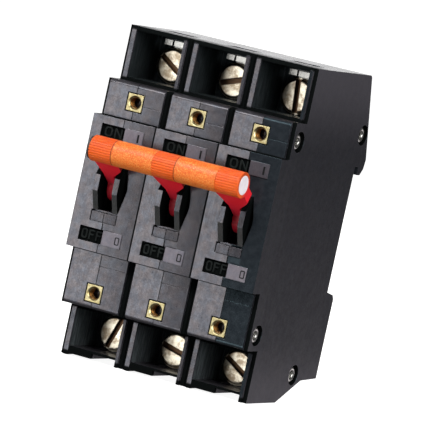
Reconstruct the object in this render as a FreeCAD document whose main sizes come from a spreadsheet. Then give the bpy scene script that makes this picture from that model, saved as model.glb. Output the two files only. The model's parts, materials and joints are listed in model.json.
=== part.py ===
"""Three-pole DIN-rail circuit breaker with a common handle tie bar, in millimetres.

Frame: +X to the right across the poles, -Y out of the front, +Z up.
Origin: on the plane where the rail sits, middle pole, midway between the rail hooks.
"""
import FreeCAD, Part
import Sketcher
import math
import os

V = FreeCAD.Vector
doc = FreeCAD.newDocument("Breaker")
sheet = doc.addObject("Spreadsheet::Sheet", "Sizes")
next_row = [1]
parts = []


class Size:
    """A length that knows its value and the spreadsheet formula it comes from."""

    def __init__(self, value, formula=None):
        self.value = float(value)
        self.formula = formula or repr(round(float(value), 6))

    def combine(self, other, sign, value):
        return Size(value, "(%s %s %s)" % (self.formula, sign, other.formula))

    def __add__(self, other):
        other = as_size(other)
        return self.combine(other, "+", self.value + other.value)

    def __sub__(self, other):
        other = as_size(other)
        return self.combine(other, "-", self.value - other.value)

    def __mul__(self, other):
        other = as_size(other)
        return self.combine(other, "*", self.value * other.value)

    def __truediv__(self, other):
        other = as_size(other)
        return self.combine(other, "/", self.value / other.value)

    def __radd__(self, other):
        return as_size(other) + self

    def __rsub__(self, other):
        return as_size(other) - self

    def __rmul__(self, other):
        return as_size(other) * self

    def __neg__(self):
        return Size(0) - self


def as_size(value):
    return value if isinstance(value, Size) else Size(value)


def cell(alias, value, note):
    """Put one driving dimension in the sheet and return it."""
    row = next_row[0]
    next_row[0] += 1
    sheet.set("A%d" % row, note)
    sheet.set("B%d" % row, str(value))
    sheet.setAlias("B%d" % row, alias)
    return Size(value, "Sizes." + alias)


# ---------------------------------------------------------------- driving dimensions
pitch = cell("pole_pitch", 19.05, "Pole to pole")
pole_gap = cell("pole_gap", 0.1, "Gap between neighbouring poles")
seam = cell("seam_gap", 0.06, "Gap between the two half shells")
wall = cell("wall_thickness", 1.6, "Side wall")
running = cell("running_clearance", 0.05, "Radial clearance of a running fit")
fit = cell("loose_clearance", 0.1, "Clearance of a sliding fit")

seat = cell("seat_to_panel", 46.9, "Rail seat to centre panel face")
nut_step = cell("insert_step", 3.6, "Centre panel to insert face")
wall_step = cell("terminal_step", 9.8, "Centre panel to terminal wall edge")
rabbet = cell("rabbet_depth", 0.8, "Depth of the rabbet beside each pole front")
inset_left = cell("rabbet_left", 0.9, "Rabbet width, left flank")
inset_right = cell("rabbet_right", 1.25, "Rabbet width, right flank")
panel_top = cell("panel_top", 19.1, "Centre panel upper end")
panel_low = cell("panel_low", 17.1, "Centre panel lower end, below the origin")
nut_top = cell("insert_face_top", 29.0, "Upper insert face end")
nut_low = cell("insert_face_low", 32.6, "Lower insert face end, below the origin")
case_top = cell("case_top", 43.9, "Top of the case")
case_low = cell("case_low", 46.9, "Bottom of the case, below the origin")
shoulder = cell("top_shoulder", 1.8, "Top corner, in front of the seat")
hook_high = cell("hook_high", 20.8, "Top of the upper hook")
hook_mid = cell("hook_mid", 18.2, "Where the upper hook starts to narrow")
toe_back = cell("toe_back", 5.0, "Start of the sloping bottom, in front of the seat")
toe_front = cell("toe_front", 18.4, "End of the sloping bottom, in front of the seat")
cavity_front = cell("cavity_front", 4.6, "Panel face to the cavity behind the handle")
cavity_step = cell("cavity_step", 11.5, "Panel face to the wide part of the cavity")
cavity_back = cell("cavity_back", 45.2, "Panel face to the back of the cavity")
cavity_bevel = cell("cavity_bevel", 42.5, "Panel face to the cavity's rear bevel")
cavity_top = cell("cavity_top", 27.8, "Top of the cavity")
cavity_neck_top = cell("cavity_neck_top", 17.5, "Top of the cavity behind the handle")
cavity_neck_low = cell("cavity_neck_low", 19.0, "Bottom of the cavity behind the handle, below the origin")
cavity_low = cell("cavity_low", 28.5, "Bottom of the cavity, below the origin")

hook_half = cell("hook_half_gap", 16.4, "Half the gap between the rail hooks")
rail_pocket = cell("rail_pocket_top", 18.7, "Upper end of the rail edge pocket")
rail_slot = cell("rail_slot", 2.1, "Width of the rail edge pocket")
latch_thick = cell("latch_thickness", 1.5, "Rail latch slider")
hook_back = cell("hook_back", 6.1, "Upper hook behind the seat")
heel_back = cell("heel_back", 4.8, "Lower heel behind the seat")
heel_low = cell("heel_low", 40.5, "Bottom of the heel, below the origin")
corner_round = cell("corner_round", 1.2, "Outer corner radius")

insert_up = cell("insert_up", 24.0, "Upper insert height")
insert_down = cell("insert_down", 28.37, "Lower insert height, below the origin")
insert_side = cell("insert_side", 4.6, "Insert square")
insert_long = cell("insert_long", 3.2, "Insert length")
insert_gap = cell("insert_gap", 0.3, "Gap round an insert")
line_up = cell("witness_line_up", 23.3, "Height of the upper witness line")
line_down = cell("witness_line_down", 20.9, "Lower witness line, below the origin")
line_wide = cell("witness_line_width", 0.15, "Width and depth of a witness line")
thread_radius = cell("thread_radius", 1.55, "Insert thread minor radius, 6-32")

chamber_back = cell("chamber_back", 26.0, "Centre panel to terminal chamber back")
chamber_up_low = cell("upper_chamber_floor", 29.9, "Upper chamber floor")
chamber_up_top = cell("upper_chamber_roof", 42.7, "Upper chamber roof")
chamber_down_top = cell("lower_chamber_roof", 33.8, "Lower chamber roof, below the origin")
chamber_down_low = cell("lower_chamber_floor", 44.45, "Lower chamber floor, below the origin")
thin_left = cell("chamber_wall_left", 1.3, "Terminal wall, left")
thin_right = cell("chamber_wall_right", 0.85, "Terminal wall, right")
screw_up = cell("screw_up", 35.0, "Upper terminal screw height")
screw_down = cell("screw_down", 39.4, "Lower terminal screw height, below the origin")
screw_radius = cell("screw_head_radius", 4.95, "Terminal screw head")
slot_wide = cell("screw_slot_width", 1.5, "Terminal screw slot")
slot_deep = cell("screw_slot_depth", 1.2, "Terminal screw slot depth")
screw_front = cell("screw_front", 20.6, "Centre panel to screw head face")
screw_head = cell("screw_head_height", 2.3, "Terminal screw head height")
shank_radius = cell("screw_shank_radius", 2.0, "Terminal screw shank")
strap_front = cell("strap_front", 24.6, "Centre panel to terminal strap face")
strap_thick = cell("strap_thickness", 1.2, "Terminal strap")
strap_half = cell("strap_half_width", 3.5, "Terminal strap half width")
ear_low = cell("ear_low", 5.35, "Screw axis to the clamp ears")
ear_high = cell("ear_high", 1.5, "Height of a clamp ear")
ear_reach = cell("ear_reach", 3.0, "How far an ear stands forward of its plate")
clamp_half = cell("clamp_half", 3.4, "Half side of the clamp plate")

pivot_depth = cell("handle_pivot_depth", 5.0, "Handle pivot behind the panel face")
pivot_height = cell("handle_pivot_height", 1.0, "Handle pivot height")
lever_reach = cell("lever_reach", 15.4, "Handle pivot to tie bar, along Y")
lever_rise = cell("lever_rise", 9.85, "Handle pivot to tie bar, along Z")
bar_radius = cell("bar_radius", 3.5, "Tie bar")
rod_radius = cell("rod_radius", 2.6, "Tie rod")
barrel_long = cell("barrel_long", 6.8, "Handle barrel length")
barrel_offset = cell("barrel_offset", 1.65, "Barrel middle, right of its pole's middle")
stem_half = cell("stem_half_width", 0.9, "Handle tongue half width, beside the link")
neck_half = cell("neck_half_width", 1.5, "Handle neck half width, in the slot")
web_left = cell("web_left", 4.3, "Left corner of the handle web, from the pole's middle")
web_left_end = cell("web_left_end", 2.6, "The same corner on the left pole, where the tie rod ends")
web_top = cell("web_top", 14.5, "Pivot to the web's shoulder below the tie bar")
web_thick = cell("web_thickness", 3.0, "Handle web thickness")
slot_half = cell("handle_slot_half", 2.18, "Handle slot half width")
fin_out = cell("fin_outside", 3.73, "Outer face of a guard fin")
fin_proud = cell("fin_proud", 2.8, "Guard fin in front of the panel")
fin_flat_low = cell("fin_flat_low", 1.7, "Pivot height to the lower end of a fin's flat front")
fin_flat_top = cell("fin_flat_top", 2.6, "Pivot height to the upper end of a fin's flat front")
slot_reach = cell("slot_reach", 7.0, "Half length of the handle slot")
well_width = cell("well_width", 1.3, "Widest part of the well beside a fin")
well_depth = cell("well_depth", 2.4, "Depth of the well beside a fin")
stop_top = cell("stop_top", 6.4, "Top of the stop blocks, below the origin")
stop_low = cell("stop_low", 8.8, "Bottom of the stop blocks, below the origin")
stop_proud = cell("stop_proud", 0.3, "Stop blocks in front of the panel")
groove_deep = cell("groove_depth", 1.2, "Depth of the grooves round the stop blocks")
label_up_low = cell("label_up_low", 13.2, "Upper label, lower edge")
label_up_top = cell("label_up_top", 17.0, "Upper label, upper edge")
label_down_low = cell("label_down_low", 14.8, "Lower label, lower edge, below the origin")
label_down_top = cell("label_down_top", 10.9, "Lower label, upper edge, below the origin")
label_deep = cell("label_depth", 0.8, "Depth of a label recess")
label_left = cell("label_left", 6.4, "Left end of a label recess, from the seam")
label_right = cell("label_right", 0.8, "Right end of a label recess, from the seam")
plate_proud = cell("plate_proud", 0.25, "Mark plate in front of the panel")
plate_right = cell("plate_right", 6.5, "Right end of a mark plate, from the seam")
crank_radius = cell("crank_radius", 3.0, "Handle pivot to link pin")
hub_radius = cell("hub_radius", 4.0, "Handle hub")
pin_radius = cell("handle_pin_radius", 1.0, "Handle pivot pin")

arm_depth = cell("arm_pivot_depth", 22.0, "Contact arm pivot behind the panel face")
arm_height = cell("arm_pivot_height", -7.0, "Contact arm pivot height")
arm_pin = cell("arm_pin_radius", 1.2, "Contact arm pivot pin")
tail_long = cell("arm_tail", 11.6, "Contact arm pivot to link pin")
arm_top = cell("arm_top", 17.5, "Top of the contact arm")
arm_front = cell("arm_front", 23.85, "Contact arm front face behind the panel face")
arm_thick = cell("arm_thickness", 2.0, "Contact arm thickness")
link_pin = cell("link_pin_radius", 0.7, "Link pins")

coil_depth = cell("coil_depth", 36.9, "Coil axis behind the panel face")
coil_radius = cell("coil_radius", 6.4, "Coil winding")
tube_radius = cell("tube_radius", 2.9, "Dashpot tube")
coil_low = cell("coil_low", -25.6, "Bobbin bottom")
coil_top = cell("coil_top", -5.2, "Bobbin top")
armature_tilt = cell("armature_tilt", 8.0, "Armature angle when released, degrees")
hinge_depth = cell("armature_hinge_depth", 43.6, "Armature hinge behind the panel face")
hinge_height = cell("armature_hinge_height", -1.5, "Armature hinge height")
trunnion_radius = cell("trunnion_radius", 0.7, "Armature trunnion")
trip_depth = cell("trip_bar_depth", 28.6, "Trip bar behind the panel face")
trip_height = cell("trip_bar_height", -3.6, "Trip bar height")
trip_radius = cell("trip_bar_radius", 1.4, "Trip bar")

rivet_radius = cell("rivet_radius", 1.2, "Rivet shank")
rivet_head = cell("rivet_head_radius", 2.3, "Rivet head")
sink_radius = cell("rivet_sink_radius", 2.85, "Rivet counterbore radius")
sink_depth = cell("rivet_sink_depth", 2.0, "Rivet counterbore depth")
lip_thick = cell("rivet_lip", 0.7, "Radius of the rolled lip's section")

half = (pitch - pole_gap) / 2
lever_angle = math.degrees(math.atan2(lever_rise.value, lever_reach.value))
POLES = {"left": -1, "centre": 0, "right": 1}
SIDES = {"left": -1, "right": 1}
doc.recompute()


def depth(distance):
    """Y of a point that lies the given distance behind the centre panel face."""
    return as_size(distance) - seat


# ---------------------------------------------------------------- joint angles and heights
ARM_SWING = 16.0
contact_height = cell("contact_height", 15.0, "Height of the contact buttons")
doc.recompute()


# ---------------------------------------------------------------- building blocks
def bind(obj, prop, size):
    """Set a property and tie it to the sheet when the size comes from there."""
    size = as_size(size)
    if "Sizes." in size.formula:
        obj.setExpression(prop, size.formula)
    return size.value


def body(label, pole=0):
    """A PartDesign body placed on one pole; label is the node name."""
    new = doc.addObject("PartDesign::Body", label)
    new.Label = label
    new.Placement = FreeCAD.Placement(V(pole * pitch.value, 0, 0), FreeCAD.Rotation())
    if pole:
        new.setExpression("Placement.Base.x", "Sizes.pole_pitch * %d" % pole)
    parts.append(new)
    return new


def plane_of(owner, role):
    return next(f for f in owner.Origin.OriginFeatures if f.Role == role)


def sketch_on(owner, start, role="YZ_Plane"):
    """An empty sketch across the given origin plane, start away from it."""
    sketch = owner.newObject("Sketcher::SketchObject", "Sketch")
    sketch.AttachmentSupport = [(plane_of(owner, role), "")]
    sketch.MapMode = "FlatFace"
    start = as_size(start)
    sketch.AttachmentOffset = FreeCAD.Placement(V(0, 0, start.value), FreeCAD.Rotation())
    bind(sketch, "AttachmentOffset.Base.z", start)
    return sketch


def pin_down(sketch, geometry, point, u, v):
    """Hold one sketch point at (u, v), tied to the sheet."""
    for kind, size in (("DistanceX", as_size(u)), ("DistanceY", as_size(v))):
        index = sketch.addConstraint(Sketcher.Constraint(kind, -1, 1, geometry, point, size.value))
        bind(sketch, "Constraints[%d]" % index, size)


def draw_outline(sketch, points):
    """A closed outline of straight sides, every corner dimensioned from the origin."""
    corners = [(as_size(u), as_size(v)) for u, v in points]
    spots = [V(u.value, v.value, 0) for u, v in corners]
    count = len(spots)
    first = sketch.GeometryCount
    for i in range(count):
        sketch.addGeometry(Part.LineSegment(spots[i], spots[(i + 1) % count]), False)
    for i in range(count):
        following = first + (i + 1) % count
        sketch.addConstraint(Sketcher.Constraint("Coincident", first + i, 2, following, 1))
    for i, (u, v) in enumerate(corners):
        pin_down(sketch, first + i, 1, u, v)


def draw_circle(sketch, u, v, radius):
    u, v, radius = as_size(u), as_size(v), as_size(radius)
    index = sketch.addGeometry(Part.Circle(V(u.value, v.value, 0), V(0, 0, 1), radius.value), False)
    pin_down(sketch, index, 3, u, v)
    size = sketch.addConstraint(Sketcher.Constraint("Radius", index, radius.value))
    bind(sketch, "Constraints[%d]" % size, radius)


def draw(sketch, shape):
    """shape is a list of corners, or (u, v, radius) for a circle."""
    if isinstance(shape, tuple):
        draw_circle(sketch, *shape)
    else:
        draw_outline(sketch, shape)


def rectangle(u_low, u_high, v_low, v_high):
    return [(u_low, v_low), (u_high, v_low), (u_high, v_high), (u_low, v_high)]


def feature(owner, kind, shapes, start, end, role="YZ_Plane"):
    """Pad or pocket one or more outlines from start to end along the plane's normal."""
    before = owner.Shape.Volume if owner.Tip else 0.0
    sketch = sketch_on(owner, start, role)
    for shape in shapes:
        draw(sketch, shape)
    step = owner.newObject("PartDesign::" + kind, kind)
    step.Profile = sketch
    step.Reversed = kind == "Pocket"
    length = as_size(end) - as_size(start)
    step.Length = length.value
    bind(step, "Length", length)
    doc.recompute()
    grew = owner.Shape.Volume - before
    if (grew <= 0) if kind == "Pad" else (grew >= 0):
        raise ValueError("%s: a %s changed nothing" % (owner.Label, kind))


def pad(owner, shapes, start, end, role="YZ_Plane"):
    feature(owner, "Pad", shapes, start, end, role)


def pocket(owner, shapes, start, end, role="YZ_Plane"):
    feature(owner, "Pocket", shapes, start, end, role)


def span(side, near, far):
    """Start and end of a run along X from near to far on one side of the seam."""
    near, far = as_size(near), as_size(far)
    return (near, far) if side > 0 else (-far, -near)


def round_corners(owner, corners, radius):
    """Round the edges that run along X through the given (y, z) corners."""
    tip = owner.Tip
    names = []
    for i, edge in enumerate(tip.Shape.Edges):
        a, b = edge.Vertexes[0].Point, edge.Vertexes[-1].Point
        if abs(a.y - b.y) > 1e-4 or abs(a.z - b.z) > 1e-4:
            continue
        for y, z in corners:
            if abs(a.y - as_size(y).value) < 0.02 and abs(a.z - as_size(z).value) < 0.02:
                names.append("Edge%d" % (i + 1))
    fillet = owner.newObject("PartDesign::Fillet", "Fillet")
    fillet.Base = (tip, names)
    fillet.Radius = as_size(radius).value
    bind(fillet, "Radius", radius)
    doc.recompute()


def revolve(owner, profile):
    """Turn (radius, length) corners about the piece's own X axis."""
    sketch = owner.newObject("Sketcher::SketchObject", "Sketch")
    sketch.AttachmentSupport = [(plane_of(owner, "XY_Plane"), "")]
    sketch.MapMode = "FlatFace"
    draw_outline(sketch, [(along, radius) for radius, along in profile])
    turn = owner.newObject("PartDesign::Revolution", "Revolution")
    turn.Profile = sketch
    turn.ReferenceAxis = (sketch, ["H_Axis"])
    turn.Angle = 360
    doc.recompute()


def group(label, shapes):
    """One node that holds several identical loose pieces."""
    node = doc.addObject("Part::Feature", label)
    node.Label = label
    node.Shape = Part.makeCompound(shapes)
    parts.append(node)
    return node


def cylinder(radius, x_low, x_high, y, z):
    """A plain cylinder along X."""
    low, high = as_size(x_low).value, as_size(x_high).value
    base = V(low, as_size(y).value, as_size(z).value)
    return Part.makeCylinder(as_size(radius).value, high - low, base, V(1, 0, 0))


def block(x_low, x_high, y_low, y_high, z_low, z_high):
    low = [as_size(c).value for c in (x_low, y_low, z_low)]
    high = [as_size(c).value for c in (x_high, y_high, z_high)]
    return Part.makeBox(high[0] - low[0], high[1] - low[1], high[2] - low[2], V(*low))


def coil_spring(mean_radius, wire, height, turns):
    """A round-wire spring along Z that starts at the origin."""
    lead = height / turns
    helix = Part.makeHelix(lead, height, mean_radius)
    along = V(0, 2 * math.pi * mean_radius, lead)
    ring = Part.Wire(Part.makeCircle(wire / 2, V(mean_radius, 0, 0), along))
    return Part.Wire(helix).makePipeShell([ring], True, True)


# ---------------------------------------------------------------- case
def side_profile(nut_front, wall_front):
    """The pole seen from its side, with the given depths of its two front steps."""
    lip = hook_back - 2.1
    return [
        (depth(0), -panel_low), (depth(0), panel_top),
        (depth(nut_front), panel_top), (depth(nut_front), nut_top),
        (depth(wall_front), nut_top), (depth(wall_front), case_top),
        (-shoulder, case_top), (hook_back, hook_high), (hook_back - 0.5, hook_mid),
        (lip, hook_half), (rail_slot, hook_half), (rail_slot, rail_pocket),
        (Size(0), rail_pocket), (Size(0), -hook_half), (heel_back - 1, -hook_half - 0.7),
        (heel_back, -hook_half - 1.8), (heel_back, -heel_low), (-toe_back, -heel_low - 0.5),
        (-toe_front, -case_low), (depth(wall_front), -case_low),
        (depth(wall_front), -nut_low), (depth(nut_front), -nut_low),
        (depth(nut_front), -panel_low),
    ]


def cavity_profile():
    """The room for the mechanism, clear of the inserts and rivets."""
    bevel_top = 20
    return [
        (depth(cavity_front), -cavity_neck_low), (depth(cavity_front), cavity_neck_top),
        (depth(cavity_step), cavity_neck_top), (depth(cavity_step), cavity_top),
        (depth(cavity_bevel), cavity_top), (depth(cavity_bevel), Size(bevel_top)),
        (depth(cavity_back), cavity_neck_top), (depth(cavity_back), -cavity_low),
        (depth(cavity_step), -cavity_low), (depth(cavity_step), -cavity_neck_low),
    ]


def fin_profile():
    """A guard fin beside the handle slot: flat front with two sloping ends."""
    foot = depth(0.6)
    return [
        (foot, pivot_height - slot_reach), (depth(0), pivot_height - slot_reach),
        (depth(0) - fin_proud, pivot_height - fin_flat_low),
        (depth(0) - fin_proud, pivot_height + fin_flat_top),
        (depth(0), pivot_height + slot_reach), (foot, pivot_height + slot_reach),
    ]


RIVETS = [(depth(8.2), insert_up), (depth(8.2), -insert_down),
          (depth(47.6), Size(27.4)), (depth(36.5), Size(-39.4))]


def half_shell(pole_name, side_name):
    """One moulded half of a pole: its outer form, then every room and hole in it."""
    pole, side = POLES[pole_name], SIDES[side_name]
    shell = body("case_%s_of_%s_pole" % (side_name, pole_name), pole)
    core = half - (inset_left if side < 0 else inset_right)
    inner = half - wall

    pad(shell, [side_profile(nut_step, wall_step)], *span(side, seam / 2, core))
    round_corners(shell, [(depth(nut_step), nut_top), (depth(nut_step), -nut_low),
                          (depth(wall_step), case_top)], corner_round)
    pad(shell, [side_profile(nut_step + rabbet, wall_step + rabbet)], *span(side, core, half))
    round_corners(shell, [(-shoulder, case_top)], corner_round)

    pocket(shell, [cavity_profile()], *span(side, 0, inner))
    cut_terminals(shell, side, core)
    cut_nut_panels(shell, side, core)
    shape_handle_slot(shell, side)
    shape_labels(shell, side)
    add_bosses(shell, side, inner)
    add_side_holes(shell, pole, side)
    cut_latch_channel(shell, side)
    return shell


def cut_terminals(shell, side, core):
    """Both terminal chambers with their wire, screwdriver and strap openings."""
    thin = thin_left if side < 0 else thin_right
    front = depth(wall_step) - 1
    back = depth(chamber_back)
    upper = rectangle(front, back, chamber_up_low, chamber_up_top)
    lower = rectangle(front, back, -chamber_down_low, -chamber_down_top)
    pocket(shell, [upper, lower], *span(side, 0, core - thin))
    relief = 0.5 if side < 0 else 1.9
    relief_back = -20
    under = rectangle(front, Size(relief_back), -case_low - 1, relief - case_low)
    pocket(shell, [under], *span(side, 0, core - thin))
    shaft = rectangle(depth(33), depth(cavity_bevel), Size(31), Size(41.5))
    pocket(shell, [shaft], *span(side, 0, half - wall))

    wire_half, wire_front = 4.2, depth(strap_front) - 4.4
    wire_top = rectangle(wire_front, back, chamber_up_top - 1, case_top + 1)
    wire_low = rectangle(wire_front, back, -case_low - 1, 1 - chamber_down_low)
    pocket(shell, [wire_top, wire_low], *span(side, 0, wire_half))
    tail_half = 2.3
    tails = [rectangle(back - 1, depth(31.5), z - tail_half, z + tail_half)
             for z in (screw_up, -screw_down)]
    pocket(shell, tails, *span(side, 0, tail_half))
    strap_face = depth(strap_front) - fit
    strap_gap = [rectangle(strap_face, back, Size(27), Size(31)),
                 rectangle(strap_face, back, Size(-34.5), Size(-28))]
    pocket(shell, strap_gap, *span(side, 0, strap_half + fit))


def cut_nut_panels(shell, side, core):
    """The seats of the two inserts, and the fine line beside them on the right half."""
    seat_half = insert_side / 2 + insert_gap
    face = depth(nut_step)
    seats = [rectangle(face - 1, face + insert_long, z - seat_half, z + seat_half)
             for z in (insert_up, -insert_down)]
    pocket(shell, seats, *span(side, 0, seat_half))
    if side > 0:
        upper = rectangle(face - 1, face + line_wide, line_up, line_up + line_wide)
        lower = rectangle(face - 1, face + line_wide, -line_down, line_wide - line_down)
        pocket(shell, [upper], seat_half, core)
        pocket(shell, [lower], seam / 2, core)


def shape_handle_slot(shell, side):
    """The slot of the lever, the fin and tapering well beside it, and the stop block below."""
    front = depth(-1)
    slot_low, slot_top = pivot_height - slot_reach, pivot_height + slot_reach
    pocket(shell, [rectangle(front, depth(5), slot_low + 0.2, slot_top - 0.2)], *span(side, 0, slot_half))
    pad(shell, [fin_profile()], *span(side, slot_half, fin_out))
    near, far = fin_out * side, (fin_out + well_width) * side
    well = [(near, slot_low + 0.1), (far, pivot_height - 0.5),
            (far, pivot_height + 0.5), (near, slot_top - 0.1)]
    pocket(shell, [well], -depth(well_depth), -front, "XZ_Plane")

    groove = rectangle(front, depth(groove_deep), -stop_top, slot_low + 0.05)
    pocket(shell, [groove], *span(side, 0, fin_out))
    stop = rectangle(depth(0) - stop_proud, depth(0.5), -stop_low, -stop_top)
    pad(shell, [stop], *span(side, seam / 2, fin_out))
    groove_wide = 0.4
    under_end = fin_out + groove_wide if side < 0 else fin_out
    under = rectangle(front, depth(0.4), -stop_low - 0.15, -stop_low)
    pocket(shell, [under], *span(side, 0, under_end))
    if side < 0:
        beside = rectangle(front, depth(groove_deep), -stop_low, slot_low)
        pocket(shell, [beside], *span(side, fin_out, fin_out + groove_wide))
    else:
        slope = [(front, -stop_low - 0.15), (depth(0), -stop_low - 0.15),
                 (depth(0.35), -label_down_top), (front, -label_down_top)]
        pocket(shell, [slope], *span(side, 0, fin_out))


def shape_labels(shell, side):
    """Recesses for the two words, and the two plates for the marks on the right half."""
    bands = [(label_up_low, label_up_top), (-label_down_low, -label_down_top)]
    recesses = [rectangle(depth(-1), depth(label_deep), low, top) for low, top in bands]
    pocket(shell, recesses, *span(side, 0, label_left if side < 0 else label_right))
    if side > 0:
        plates = [rectangle(depth(0) - plate_proud, depth(0.5), low, top) for low, top in bands]
        pad(shell, plates, label_right, plate_right)


def add_bosses(shell, side, inner):
    """Bearing bosses for the handle pin and the arm pin, then their blind holes."""
    handle_boss = (depth(pivot_depth), pivot_height, Size(2.3))
    arm_boss = (depth(arm_depth), arm_height, Size(2.6))
    spring_side, handle_side, arm_side = 5.3, 2.6, 3.4
    pad(shell, [handle_boss], *span(side, handle_side if side > 0 else spring_side, inner + 0.1))
    pad(shell, [arm_boss], *span(side, arm_side if side > 0 else spring_side, inner + 0.1))
    holes = [(depth(pivot_depth), pivot_height, pin_radius + 0.03),
             (depth(arm_depth), arm_height, arm_pin + 0.03)]
    pocket(shell, holes, *span(side, 2, inner - 0.5))
    if side < 0:
        spring_room = (depth(pivot_depth), pivot_height, Size(2.2))
        pocket(shell, [spring_room], -(slot_half + 3.0), -slot_half + 0.1)


def add_side_holes(shell, pole, side):
    """Rivet holes, trip bar hole and armature trunnion socket; only the two ends are closed."""
    outer_end = pole * side > 0
    pocket(shell, [(y, z, rivet_radius + fit) for y, z in RIVETS], *span(side, 0, half + 0.5))
    if outer_end:
        pocket(shell, [(y, z, sink_radius) for y, z in RIVETS], *span(side, half - sink_depth, half + 0.5))
    inside = half - wall - 0.5
    trip_end = half - 0.7 if outer_end else half + 0.5
    trip_hole = (depth(trip_depth), trip_height, trip_radius + fit)
    pocket(shell, [trip_hole], *span(side, inside, trip_end))
    socket = (depth(hinge_depth), hinge_height, trunnion_radius + running)
    pocket(shell, [socket], *span(side, inside, half - 0.8))


def cut_latch_channel(shell, side):
    """The stepped channel of the rail latch and the pocket of its spring."""
    wide = rectangle(rail_slot - fit, rail_slot + latch_thick + fit, -heel_low - 1.2, -hook_half + 0.2)
    narrow = rectangle(rail_slot + latch_thick, heel_back + 0.5, -heel_low - 1.2, -hook_half + 0.2)
    pocket(shell, [wide], *span(side, 0, 3.1))
    pocket(shell, [narrow], *span(side, 0, 2.2))
    pocket(shell, [rectangle(Size(-1.3), rail_slot, Size(-38.5), Size(-29.5))], *span(side, 0, 1.35))


# ---------------------------------------------------------------- handle group
BAR_Y = depth(pivot_depth) - lever_reach
BAR_Z = pivot_height + lever_rise


def web_sketch(owner):
    """A sketch in the lever's own plane: X across, Y out from the pivot along the lever."""
    sketch = sketch_on(owner, 0, "XY_Plane")
    tilt = FreeCAD.Rotation(V(1, 0, 0), 180 - lever_angle)
    sketch.AttachmentOffset = FreeCAD.Placement(V(0, depth(pivot_depth).value, pivot_height.value), tilt)
    bind(sketch, "AttachmentOffset.Base.z", pivot_height)
    bind(sketch, "AttachmentOffset.Base.y", depth(pivot_depth))
    return sketch


def handle(pole_name):
    """Ribbed barrel, flaring web, neck and hub with its crank pin, moulded as one."""
    lever = body("handle_of_%s_pole" % pole_name, POLES[pole_name])
    barrel_low, barrel_high = barrel_offset - barrel_long / 2, barrel_offset + barrel_long / 2
    pad(lever, [(depth(pivot_depth), pivot_height, hub_radius)], -neck_half, stem_half)

    reach = math.hypot(lever_reach.value, lever_rise.value)
    web = web_sketch(lever)
    web_corner = web_left_end if pole_name == "left" else web_left
    draw_outline(web, [
        (-neck_half, 2), (neck_half, 2), (neck_half, 7.6), (barrel_high - 0.4, 11.2),
        (barrel_high, 12), (barrel_high, reach), (barrel_low, reach), (barrel_low, web_top),
        (-web_corner, web_top), (-neck_half, 8.2)])
    sheet_of_web = lever.newObject("PartDesign::Pad", "Web")
    sheet_of_web.Profile = web
    sheet_of_web.Midplane = True
    sheet_of_web.Length = bind(sheet_of_web, "Length", web_thick)
    doc.recompute()

    pad(lever, [(BAR_Y, BAR_Z, bar_radius)], barrel_low, barrel_high)
    pocket(lever, rib_grooves(), barrel_low - 0.1, barrel_high + 0.1)
    pocket(lever, [(BAR_Y, BAR_Z, rod_radius)], barrel_low - 0.1, barrel_high + 0.1)
    pad(lever, [(depth(pivot_depth), pivot_height, Size(2.1))], Size(-1.8), Size(1.0))
    pocket(lever, [(depth(pivot_depth), pivot_height, pin_radius + running)], Size(-2), Size(2))
    crank_y, crank_z = crank_point()
    pad(lever, [(crank_y, crank_z, link_pin)], stem_half - 0.2, Size(2.2))
    return lever


def rib_grooves():
    """Fine grooves round the barrel, left out where the web joins it."""
    count, web_angle, groove_radius = 30, 45, 0.14
    grooves = []
    for i in range(count):
        degrees = 360 * i / count
        from_web = (degrees + lever_angle + 180) % 360 - 180
        if abs(from_web) < web_angle:
            continue
        turn = math.radians(degrees)
        y, z = BAR_Y + bar_radius * math.cos(turn), BAR_Z + bar_radius * math.sin(turn)
        grooves.append((y, z, groove_radius))
    return grooves


def crank_point():
    angle = math.radians(lever_angle)
    return (depth(pivot_depth) + crank_radius.value * math.cos(angle),
            pivot_height - crank_radius.value * math.sin(angle))


# ---------------------------------------------------------------- tie bar
def tie_sleeve(number, pole):
    """A smooth sleeve on the rod that fills the gap between two handle barrels."""
    sleeve = body("tie_sleeve_%d" % number, pole)
    low = barrel_offset + barrel_long / 2 + running
    high = low + pitch - barrel_long - running * 2
    pad(sleeve, [(BAR_Y, BAR_Z, bar_radius)], low, high)
    pocket(sleeve, [(BAR_Y, BAR_Z, rod_radius)], low - 0.1, high + 0.1)


def tie_rod():
    rod = body("tie_rod")
    left = barrel_offset - barrel_long / 2 - pitch - 0.9
    right = barrel_offset + barrel_long / 2 + pitch + 0.05
    pad(rod, [(BAR_Y, BAR_Z, rod_radius)], left, right)
    ring = body("rod_retaining_ring")
    pad(ring, [(BAR_Y, BAR_Z, bar_radius - 0.4)], left + 0.1, left + 0.85)
    pocket(ring, [(BAR_Y, BAR_Z, rod_radius)], left, left + 1)


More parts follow.
